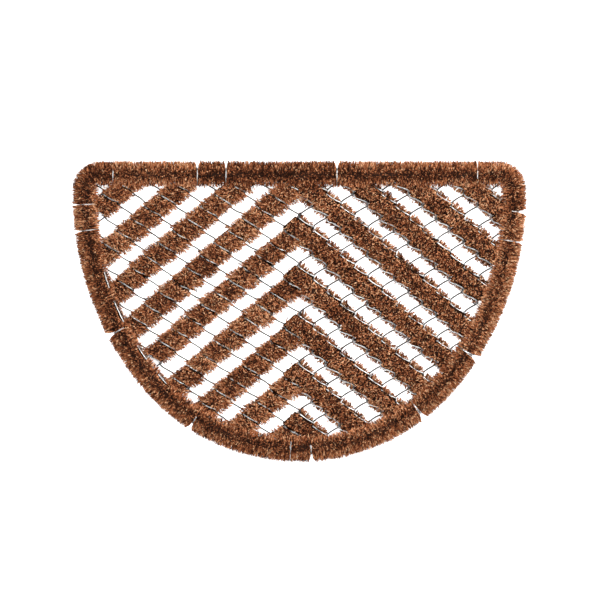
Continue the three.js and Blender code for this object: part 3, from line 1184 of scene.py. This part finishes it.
@dataclass
class CoirRow(Brush):
    """One diagonal row of tufts, each packed into a cell of the mesh.

    A squeeze is how wide and how long the roots stand, as shares of the cell.
    """

    border_inset: float = 0.0292
    root_rise: float = 0.002
    ragged: float = 0.0008
    shuffle: float = 0.0003
    tuft_squeeze: Pair = (0.5, 0.5)
    band_squeeze: Pair = (0.62, 0.95)
    groove_half: float = 0.0010
    corner_power: int = 3
    base_tint: float = 0.52
    rim_painted_light: float = 0.14
    rim_level: float = 0.5
    cell_shade: float = 0.06
    reach_spread: float = 0.0011
    crown: float = 0.0025
    fringe_power: float = 0.5
    # Fringe fibres start this far up the map, painted lighter as light gets in between them, and are drawn
    # wider.
    fringe_base: float = 0.35
    fringe_share: float = 1.3
    core_band: Pair = (0.93, 1.02)
    core_levels: tuple[Pair, ...] = (
        (-0.0075, 0.72), (-0.003, 0.84), (0.0, 0.7), (0.003, 0.84), (0.0075, 0.72)
    )
    octagon: tuple[Pair, ...] = (
        (-1, -0.6), (-0.6, -1), (0.6, -1), (1, -0.6), (1, 0.6), (0.6, 1), (-0.6, 1), (-1, 0.6)
    )
    square: tuple[Pair, ...] = ((-1, 0), (-1, -1), (0, -1), (1, -1), (1, 0), (1, 1), (0, 1), (-1, 1))

    def build(self, name: str, plan: RowPlan, cells: list[Points], first_share: float) -> bpy.types.Object:
        """Builds a row.

        Args:
            name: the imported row's name.
            plan: how the row runs.
            cells: the middles of its cells, in order.
            first_share: the share of the first cell that is left open, below 0 where it starts early.

        Returns:
            The finished piece.
        """
        rng = np.random.default_rng(self.seed)
        groups, core = [], Core()
        for index, middle in enumerate(cells):
            start = first_share if index == 0 else 0.0
            shade = rng.normal(0, self.cell_shade)
            groups += [self._cell(rng, plan, middle, start, face, shade) for face in Face]
            core.add_loft(self._core_rings(plan, middle, start))
        fibres = Fibres.joined(groups)
        inside = self.outline.inset(fibres.tips) > self.border_inset
        return self.make(f"coir_{name}", name, fibres.kept(inside), core)

    def _cell(
        self, rng: np.random.Generator, plan: RowPlan, middle: Points, start: float, face: Face, shade: float
    ) -> Fibres:
        """The fibres of one cell at one face.

        Args:
            rng: the source of what is random.
            plan: how the row runs.
            middle: the cell's middle.
            start: the share of the cell that is left open.
            face: the face.
            shade: how much lighter the whole cell is.

        Returns:
            The fibres.
        """
        is_tuft = face is plan.tuft_face
        is_fringe = face is Face.UNDERSIDE and is_tuft
        low, high = plan.tuft if is_tuft else plan.band
        shear = plan.tuft_shear if is_tuft else plan.band_shear
        low_reach, high_reach = np.array([low.reach, high.reach]) + rng.normal(0, self.reach_spread, 2)
        area = plan.length * (1 - start) * (plan.width + low.reach + high.reach)
        count = round(self.density(face) * area * (self.fringe_share if is_fringe else 1))
        u, v = rng.uniform(-1, 1, (2, count))
        if is_fringe:
            u = signed_power(u, self.fringe_power)
        rounding = np.where(u < 0, low.rounding, high.rounding)
        narrowing = 1 - rounding * np.abs(v) ** self.corner_power
        v = v * (1 - rounding * np.abs(u) ** self.corner_power)
        u = u * narrowing
        across = u * (0.5 + np.where(u < 0, low_reach, high_reach) / plan.width)
        half, shift = 0.5, 0.0
        if is_tuft:
            across *= 1 - plan.taper * v
            groove = self.groove_half * (1 - np.abs(u) ** self.corner_power)
            half = 0.5 - groove / plan.length
            shift = (plan.groove[0] + plan.groove[1] * u) / plan.length
        across += shear * v / plan.width
        along = start / 2 + v * half * (1 - start) + shift
        run, cross = np.array(plan.run), np.array(plan.across)
        flat = middle + across[:, None] * cross + along[:, None] * run
        tips, shades, drops, leans = self.clumps.gathered(rng, flat)
        edge = signed_power(u, self.edge_power) * (self.overhang(drops) + rng.normal(0, self.ragged, count))
        tips += edge[:, None] * plan.outwards
        tips += rng.normal(0, self.shuffle, (count, 2))
        squeeze_across, squeeze_along = self.tuft_squeeze if is_tuft else self.band_squeeze
        root_across = u * 0.5 * squeeze_across
        root_along = along * squeeze_along
        base = middle + root_across[:, None] * cross + root_along[:, None] * run
        base += leans + rng.normal(0, self.lean, (count, 2))
        rim = np.maximum(np.abs(u), np.abs(v)) if is_tuft else np.abs(u)
        lowered = drops + self.crown * rim**self.edge_power if is_tuft else drops
        # Painted light and shade: lighter towards a tuft's rim and a band's sides, darker in the middle.
        tints = self.base_tint + plan.paler + shade + shades + self.rim_painted_light * (rim**2 - self.rim_level)
        roots = np.column_stack([base, self.middle + face.value * rng.uniform(0, self.root_rise, count)])
        tips = np.column_stack([tips, self.trimmed(rng, lowered, face)])
        return Fibres(roots, tips, tints, np.full(count, self.fringe_base if is_fringe else 0.0))

    def _core_rings(self, plan: RowPlan, middle: Points, start: float) -> Points:
        """The rings of one cell's core, narrow at the wires.

        Args:
            plan: how the row runs.
            middle: the cell's middle.
            start: the share of the cell that is left open.

        Returns:
            The rings.
        """
        run, cross = np.array(plan.run), np.array(plan.across)
        turns = run[0] * cross[1] - run[1] * cross[0] > 0
        rings = []
        for rise, share in self.core_levels:
            is_band = rise * plan.tuft_face.value < 0
            corners = self.square if is_band else self.octagon
            share, span = self.core_band if is_band else (share, share)
            shear = plan.band_shear / plan.width if is_band else 0.0
            flat = []
            for a, r in reversed(corners) if turns else corners:
                along = start / 2 + 0.5 * (1 - start) * r * span
                flat.append(middle + (0.5 * a * share + shear * r) * cross + along * run)
            rings.append(np.column_stack([flat, np.full(len(flat), self.middle + rise)]))
        return np.stack(rings)


# Wire


class WireProgram(Program):
    """The Geometry Nodes tree that sweeps a round section along polylines."""

    STRIP_SHARE = 0.9
    STRIP_INSET = 0.05
    MERGE_DISTANCE = 1e-5

    def __init__(self, material: bpy.types.Material) -> None:
        """Builds the tree.

        Args:
            material: the wire's material.
        """
        super().__init__("round_wires", material)
        radius = self.parameter("Wire Radius")
        sides = self.parameter("Sides", "NodeSocketInt")
        strips = self.parameter("Strips")
        line = self.node("GeometryNodeMeshToCurve", None, {"Mesh": self.entry.out("Geometry")})
        turn = {"Resolution": sides + 1, "Radius": radius, "Start Angle": 0.0, "Sweep Angle": math.tau}
        ring = self.node("GeometryNodeCurveArc", {"mode": "RADIUS"}, turn)
        section = self.stored(ring, "around", self.node("GeometryNodeSplineParameter").out("Factor"))
        sweep = {"Curve": line, "Profile Curve": section, "Scale": self.attribute("taper")}
        tube = self.node("GeometryNodeCurveToMesh", None, sweep)
        up = self.attribute("strip") + self.attribute("around") * self.STRIP_SHARE + self.STRIP_INSET
        mapped = self.mapped(tube, self.attribute("along"), up / strips)
        merge = {"Geometry": mapped, "Distance": self.MERGE_DISTANCE}
        self.finish(self.node("GeometryNodeMergeByDistance", None, merge))


def smoothed(points: Points, steps: int, closed: bool = False) -> Points:
    """A smooth line through points, with a cubic between each two and no corner where they meet.

    Args:
        points: the points that it goes through.
        steps: how many pieces each stretch is cut into.
        closed: whether the line goes back to its first point.

    Returns:
        The points of the smooth line. A closed one ends on its first point.
    """
    if closed:
        padded = np.vstack([points[-1:], points, points[:2]])
    else:
        padded = np.vstack([2 * points[0] - points[1], points, 2 * points[-1] - points[-2]])
    made = []
    for a, b, c, d in zip(padded, padded[1:], padded[2:], padded[3:], strict=False):
        for t in np.arange(steps) / steps:
            squared = (2 * a - 5 * b + 4 * c - d) * t**2
            cubed = (3 * b - a - 3 * c + d) * t**3
            made.append(0.5 * (2 * b + (c - a) * t + squared + cubed))
    made.append(padded[-2])
    return np.array(made)


@dataclass
class Wirework:
    """What every wire piece shares: how its lines become round wires."""

    program: WireProgram
    radius: float = 0.00098
    sides: int = 6
    middle: float = 0.012
    cap_share: float = 1e-3
    map_share: float = 0.999

    def make(self, name: str, nodes: list[str], lines: list[Points]) -> bpy.types.Object:
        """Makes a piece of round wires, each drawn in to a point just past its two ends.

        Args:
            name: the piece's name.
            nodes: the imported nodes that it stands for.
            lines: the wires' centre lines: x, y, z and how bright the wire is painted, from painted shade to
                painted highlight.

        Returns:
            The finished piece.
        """
        places, edges, along, strip, taper = [], [], [], [], []
        for index, line in enumerate(lines):
            line = np.vstack([line[:1], line, line[-1:]])
            line[0] += (line[0] - line[2]) * self.cap_share
            line[-1] += (line[-1] - line[-3]) * self.cap_share
            first = sum(len(part) for part in places)
            run = np.concatenate([[0], np.cumsum(np.linalg.norm(np.diff(line[:, :3], axis=0), axis=1))])
            places.append(line)
            edges += [(first + i, first + i + 1) for i in range(len(line) - 1)]
            along.append(self.map_share * run / run[-1])
            strip.append(np.full(len(line), float(index)))
            taper.append(np.concatenate([[0.0], np.ones(len(line) - 2), [0.0]]))
        whole = np.concatenate(places)
        mesh = bpy.data.meshes.new(name)
        mesh.from_pydata(whole[:, :3].tolist(), edges, [])
        columns = {"along": along, "strip": strip, "taper": taper, PAINTED_LIGHT: [whole[:, 3]]}
        for title, parts in columns.items():
            set_attribute(mesh, title, np.concatenate(parts))
        piece = add_object(name, mesh)
        values = {"Wire Radius": self.radius, "Sides": self.sides, "Strips": float(len(lines))}
        self.program.run(piece, values)
        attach(piece, BODY)
        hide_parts(*nodes)
        return piece


@dataclass(frozen=True)
class HookShape:
    """Where a wire's strands start and end at a hook, from the hook's place in the plan."""

    front_start: Pair
    front_end: Pair
    shift: float


@dataclass(kw_only=True)
class MeshWires(Wirework):
    """The woven panel: zigzag wires, each hooked into the next down a column."""

    outline: Outline
    lattice: Lattice
    seed: int = 3
    rise: float = 0.0016
    columns: int = 16
    rows: tuple[int, int] = (-22, 36)
    border_inset: float = 0.0275
    shortest: float = 0.005
    steps: int = 3
    hook_reach: float = 0.0010
    hook_bend: float = 0.0008
    hook_rise: float = 0.0008
    jitter: float = 0.0005
    # Painted light of each strand: bright as a painted highlight on the coir, dark as painted shade in the
    # open gaps and on the back under the brush.
    packed_painted_light: float = 0.6
    edge_painted_light: float = 0.5
    hook_painted_light: float = 0.25
    open_painted_light: float = 0.0
    back_painted_light: float = 0.0
    open_sag: Pair = (0.0102, -0.0080)
    packed_sag: Pair = (0.0076, -0.0082)
    right_sag: Pair = (0.0080, -0.0085)
    left_back: tuple[Pair, ...] = ((0.0172, 0.0150), (0.0045, 0.0048), (0.0010, 0.0022))
    right_back: tuple[Pair, ...] = (
        (0.0172, 0.0142), (0.0122, 0.0116), (0.0080, 0.0092), (0.0039, 0.0065), (0.0015, 0.0044)
    )
    left_upper: HookShape = HookShape((0.0008, -0.0039), (-0.0015, 0.0041), 0.0)
    left_lower: HookShape = HookShape((0.0030, -0.0035), (-0.0011, 0.0033), 0.0010)
    right_upper: HookShape = HookShape((0.0016, -0.0036), (-0.0006, 0.0030), -0.0009)
    right_lower: HookShape = HookShape((0.0007, -0.0058), (-0.0029, 0.0039), -0.0011)

    def build(self) -> bpy.types.Object:
        """Builds the panel.

        Returns:
            The finished piece.
        """
        rng = np.random.default_rng(self.seed)
        offsets = rng.normal(0, self.jitter, (2 * self.columns + 2, self.rows[1] - self.rows[0] + 4, 2))
        lines = []
        for column in range(-self.columns, self.columns):
            lines += self._inside(self._wire(column, offsets))
        return self.make("woven_wires", ["wire_mesh"], lines)

    def _hook(self, column: int, row: int, offsets: Points) -> tuple[Points, HookShape]:
        """A hook's place and shape.

        Args:
            column: the hook's column.
            row: the hook's row.
            offsets: how far each hook is out of place.

        Returns:
            Its place in the plan, and its shape.
        """
        place = self.lattice.point(column, row) + offsets[column + self.columns, row - self.rows[0]]
        if column < 0:
            return place, self.left_lower if (column + row) % ROWS_APART else self.left_upper
        return place, self.right_lower if (column - row) % ROWS_APART else self.right_upper

    def _front(self, column: int, row: int) -> tuple[float, Pair]:
        """How bright a front strand is painted, and where it sags, by what it crosses.

        Args:
            column: the column of the hook that it starts from.
            row: that hook's row.

        Returns:
            The painted light, from painted shade to painted highlight, and the sag's place from that hook.
        """
        if column >= 0:
            return self.edge_painted_light, self.right_sag
        if (column + row) % ROWS_APART:
            return self.open_painted_light, self.open_sag
        return self.packed_painted_light, self.packed_sag

    def _wire(self, column: int, offsets: Points) -> Points:
        """One zigzag wire between a column and the next.

        Args:
            column: the left column.
            offsets: how far each hook is out of place.

        Returns:
            The wire's centre line.
        """
        points = []
        first = self.rows[0] + (column + self.rows[0]) % 2
        hook, back = self.hook_painted_light, self.back_painted_light
        backs = self.left_back if column < 0 else self.right_back
        for row in range(first, self.rows[1], 2):
            left, left_shape = self._hook(column, row, offsets)
            right, right_shape = self._hook(column + 1, row + 1, offsets)
            below, _ = self._hook(column, row + 2, offsets)
            front, sag = self._front(column, row)
            right_turn = (right_shape.shift + self.hook_reach, self.hook_bend)
            points += [
                (*(left + (left_shape.shift - self.hook_reach, 0.0)), self.hook_rise, hook),
                (*(left + left_shape.front_start), self.rise, front),
                (*(left + sag), self.rise, front),
                (*(right + right_shape.front_end), self.rise, front),
                (*(right + right_turn), self.hook_rise, hook),
            ]
            points += [(*(below + place), -self.rise, back) for place in backs]
        line = smoothed(np.array(points), self.steps)
        line[:, 2] = self.middle + np.clip(line[:, 2], -self.rise, self.rise)
        line[:, 3] = np.clip(line[:, 3], 0, 1)
        return line

    def _inside(self, line: Points) -> list[Points]:
        """The stretches of a line that lie inside the border's rod.

        Args:
            line: the line.

        Returns:
            The stretches that are long enough to keep.
        """
        inside = self.outline.inset(line) > self.border_inset
        changes = np.flatnonzero(np.diff(inside.astype(int))) + 1
        kept = []
        for part, flags in zip(np.split(line, changes), np.split(inside, changes), strict=True):
            if flags[0] and len(part) > 2:
                if np.linalg.norm(np.diff(part[:, :3], axis=0), axis=1).sum() > self.shortest:
                    kept.append(part)
        return kept


@dataclass(kw_only=True)
class FrameRod(Wirework):
    """The rod that is bent once round the mat, inside the border."""

    outline: Outline
    radius: float = 0.0025
    sides: int = 12
    inset: float = 0.027
    step: float = 0.004
    # How bright the rod is painted, between painted shade and painted highlight.
    polish: float = 0.36

    def build(self) -> bpy.types.Object:
        """Builds the rod.

        Returns:
            The finished piece.
        """
        count = round(self.outline.length / self.step) + 1
        along = np.linspace(0, self.outline.length, count)
        along[-1] = 0.0
        line = self.outline.place(along, np.full(count, self.inset), np.full(count, self.middle))
        return self.make("bent_rod", ["frame_rod"], [np.column_stack([line, np.full(count, self.polish)])])


@dataclass(kw_only=True)
class TieWires(Wirework):
    """The wire loops round the border brush and the rod."""

    outline: Outline
    steps: int = 3
    # How bright the ties are painted, between painted shade and painted highlight.
    polish: float = 0.6
    half_loop: tuple[Pair, ...] = ((0.021, 0.0064), (0.0125, 0.0062), (0.0096, 0.0044), (0.009, 0.0))
    rod_side: tuple[Pair, ...] = ((0.0306, 0.0), (0.0298, 0.0028), (0.0262, 0.0049))

    def build(self, name: str, along: float) -> bpy.types.Object:
        """Builds one tie.

        Args:
            name: its name.
            along: its distance along the outline.

        Returns:
            The finished piece.
        """
        upper = [*self.rod_side, *self.half_loop]
        lower = [(inset, -rise) for inset, rise in reversed(upper[1:-1])]
        profile = np.array([*upper, *lower])
        flat = smoothed(np.column_stack([profile, np.zeros(len(profile))]), self.steps, closed=True)
        line = self.outline.place(np.full(len(flat), along), flat[:, 0], self.middle + flat[:, 1])
        line = np.column_stack([line, np.full(len(line), self.polish)])
        return self.make(f"tie_loop_{name}", [f"tie_{name}"], [line])


# The mat


@dataclass
class Doormat:
    """The whole mat: border, rows, mesh, rod and ties."""

    outline: Outline
    thickness: float
    lattice: Lattice = field(default_factory=Lattice)
    border_seed: int = 100
    row_seed: int = 200
    rows_a_side: int = 9
    outermost: int = 15
    short_rows: tuple[int, ...] = (1, 2)
    short_open_share: float = 0.55
    apex_share: float = -0.18
    farthest_column: int = 17
    cell_inset: float = 0.0235
    partings: tuple[float, ...] = (
        0.1520, 0.1168, 0.0670, 0.0153, -0.0697, -0.1055, -0.1360, -0.1633, -0.1892
    )

    def row_plan(self, half: Half) -> RowPlan:
        """How the rows of a half run.

        Args:
            half: the half.

        Returns:
            The plan.
        """
        left, right, drop = self.lattice.left_pitch, self.lattice.right_pitch, self.lattice.row_pitch
        if half is Half.LEFT:
            return RowPlan(
                run=(-left, -drop),
                across=(left, -drop),
                tuft_face=Face.TOP,
                tuft=(Side(reach=0.0054, rounding=0.0), Side(reach=0.0082, rounding=0.07)),
                band=(Side(reach=0.0026, rounding=0.0), Side(reach=0.0018, rounding=0.0)),
                tuft_shear=-0.0008,
                band_shear=0.0,
                groove=(0.0009, -0.0029),
                taper=0.0,
                paler=-0.035,
            )
        return RowPlan(
            run=(right, -drop),
            across=(right, drop),
            tuft_face=Face.UNDERSIDE,
            tuft=(Side(reach=0.0066, rounding=0.04), Side(reach=0.0069, rounding=0.04)),
            band=(Side(reach=0.0003, rounding=0.0), Side(reach=-0.0008, rounding=0.0)),
            tuft_shear=0.0003,
            band_shear=0.0021,
            groove=(0.0, -0.0008),
            taper=0.05,
            paler=0.01,
        )

    def row_cells(self, half: Half, index: int) -> list[Points]:
        """The middles of a row's cells, from the middle of the mat or the back edge outwards.

        Args:
            half: the half.
            index: the row's place, from 0 at the back.

        Returns:
            The cells' middles.
        """
        nearest, way = (1, -1) if half is Half.LEFT else (0, 1)
        cells = []
        for step in range(nearest, self.farthest_column + 1):
            middle = self.lattice.point(way * step, step + ROWS_APART * index - self.outermost)
            if self.outline.inset(middle[None])[0] > self.cell_inset:
                cells.append(middle)
        return cells

    def pieces(self) -> Iterator[bpy.types.Object]:
        """Builds and dresses the pieces, one after another.

        Yields:
            Each finished piece.
        """
        fibres = FibreProgram(CoirFinish().material())
        wires = WireProgram(SteelFinish().material())
        yield FrameRod(wires, outline=self.outline).build()
        yield MeshWires(wires, outline=self.outline, lattice=self.lattice).build()
        names = list(TIES)
        for index, name in enumerate(names):
            start, end = TIES[name], TIES[names[(index + 1) % len(names)]]
            length = (end.along - start.along) % self.outline.length
            yield TieWires(wires, outline=self.outline).build(name, start.along)
            brush = BorderBrush(self.outline, fibres, self.border_seed + index, self.thickness)
            yield brush.build(name, start, end, length, self.partings)
        for index in range(self.rows_a_side):
            for order, half in enumerate(Half):
                share = self.apex_share
                if half is Half.LEFT:
                    share = self.short_open_share if index in self.short_rows else 0.0
                row = CoirRow(self.outline, fibres, self.row_seed + 2 * index + order, self.thickness)
                cells = self.row_cells(half, index)
                yield row.build(f"row_{half.value}_{index + 1}", self.row_plan(half), cells, share)


@dataclass(frozen=True)
class Studio:
    """The camera straight above, soft pale light and a white floor."""

    camera_place: tuple[float, float, float] = (0.00066, 0.01526, 4.4386)
    lens: float = 200.0
    sensor: float = 36.0
    floor_size: float = 8.0
    world_colour: Colour = (1.0, 1.0, 1.0)
    world_strength: float = 0.12
    lamps: tuple[tuple[tuple[float, float, float], float, float], ...] = (
        ((0.0, 0.0, 4.6), 1.8, 150.0),
        ((1.1, 1.25, 1.9), 1.3, 66.0),
        ((-1.1, -1.25, 1.9), 1.8, 22.0),
    )

    def build_camera(self) -> None:
        """Makes the camera at the photograph's angle."""
        data = bpy.data.cameras.new("camera")
        data.lens = self.lens
        data.sensor_width = self.sensor
        camera = add_object("camera", data)
        camera.location = self.camera_place
        bpy.context.scene.camera = camera

    def build_light(self) -> None:
        """Makes the world's light and the lamps, and sets the view that keeps white white."""
        world = bpy.data.worlds.new("studio")
        world.use_nodes = True
        background = world.node_tree.nodes["Background"]
        background.inputs["Color"].default_value = (*self.world_colour, 1.0)
        background.inputs["Strength"].default_value = self.world_strength
        bpy.context.scene.world = world
        for index, (place, size, power) in enumerate(self.lamps, 1):
            data = bpy.data.lights.new(f"soft_lamp_{index}", "AREA")
            data.shape = "SQUARE"
            data.size = size
            data.energy = power
            lamp = add_object(f"soft_lamp_{index}", data)
            lamp.location = place
            lamp.rotation_mode = "QUATERNION"
            lamp.rotation_quaternion = (-Vector(place)).to_track_quat("-Z", "Y")
        bpy.context.scene.view_settings.view_transform = "Standard"

    def build_floor(self) -> None:
        """Makes the floor that the mat lies on."""
        half = self.floor_size / 2
        mesh = bpy.data.meshes.new("studio_floor")
        corners = [(-half, -half, 0), (half, -half, 0), (half, half, 0), (-half, half, 0)]
        mesh.from_pydata(corners, [], [(0, 1, 2, 3)])
        mesh.materials.append(FloorFinish().material())
        floor = add_object("studio_floor", mesh)
        floor.visible_glossy = False
        floor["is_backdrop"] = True


def main() -> None:
    """Loads the frame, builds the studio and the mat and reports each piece."""
    logging.basicConfig(level=logging.INFO, format="%(message)s")
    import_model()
    low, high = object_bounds()
    studio = Studio()
    studio.build_camera()
    studio.build_light()
    studio.build_floor()
    mat = Doormat(Outline(high.x - low.x, high.y - low.y), high.z - low.z)
    for piece in mat.pieces():
        piece.data.calc_loop_triangles()
        log.info("%s: %d triangles", piece.name, len(piece.data.loop_triangles))


if __name__ == "__main__":
    main()
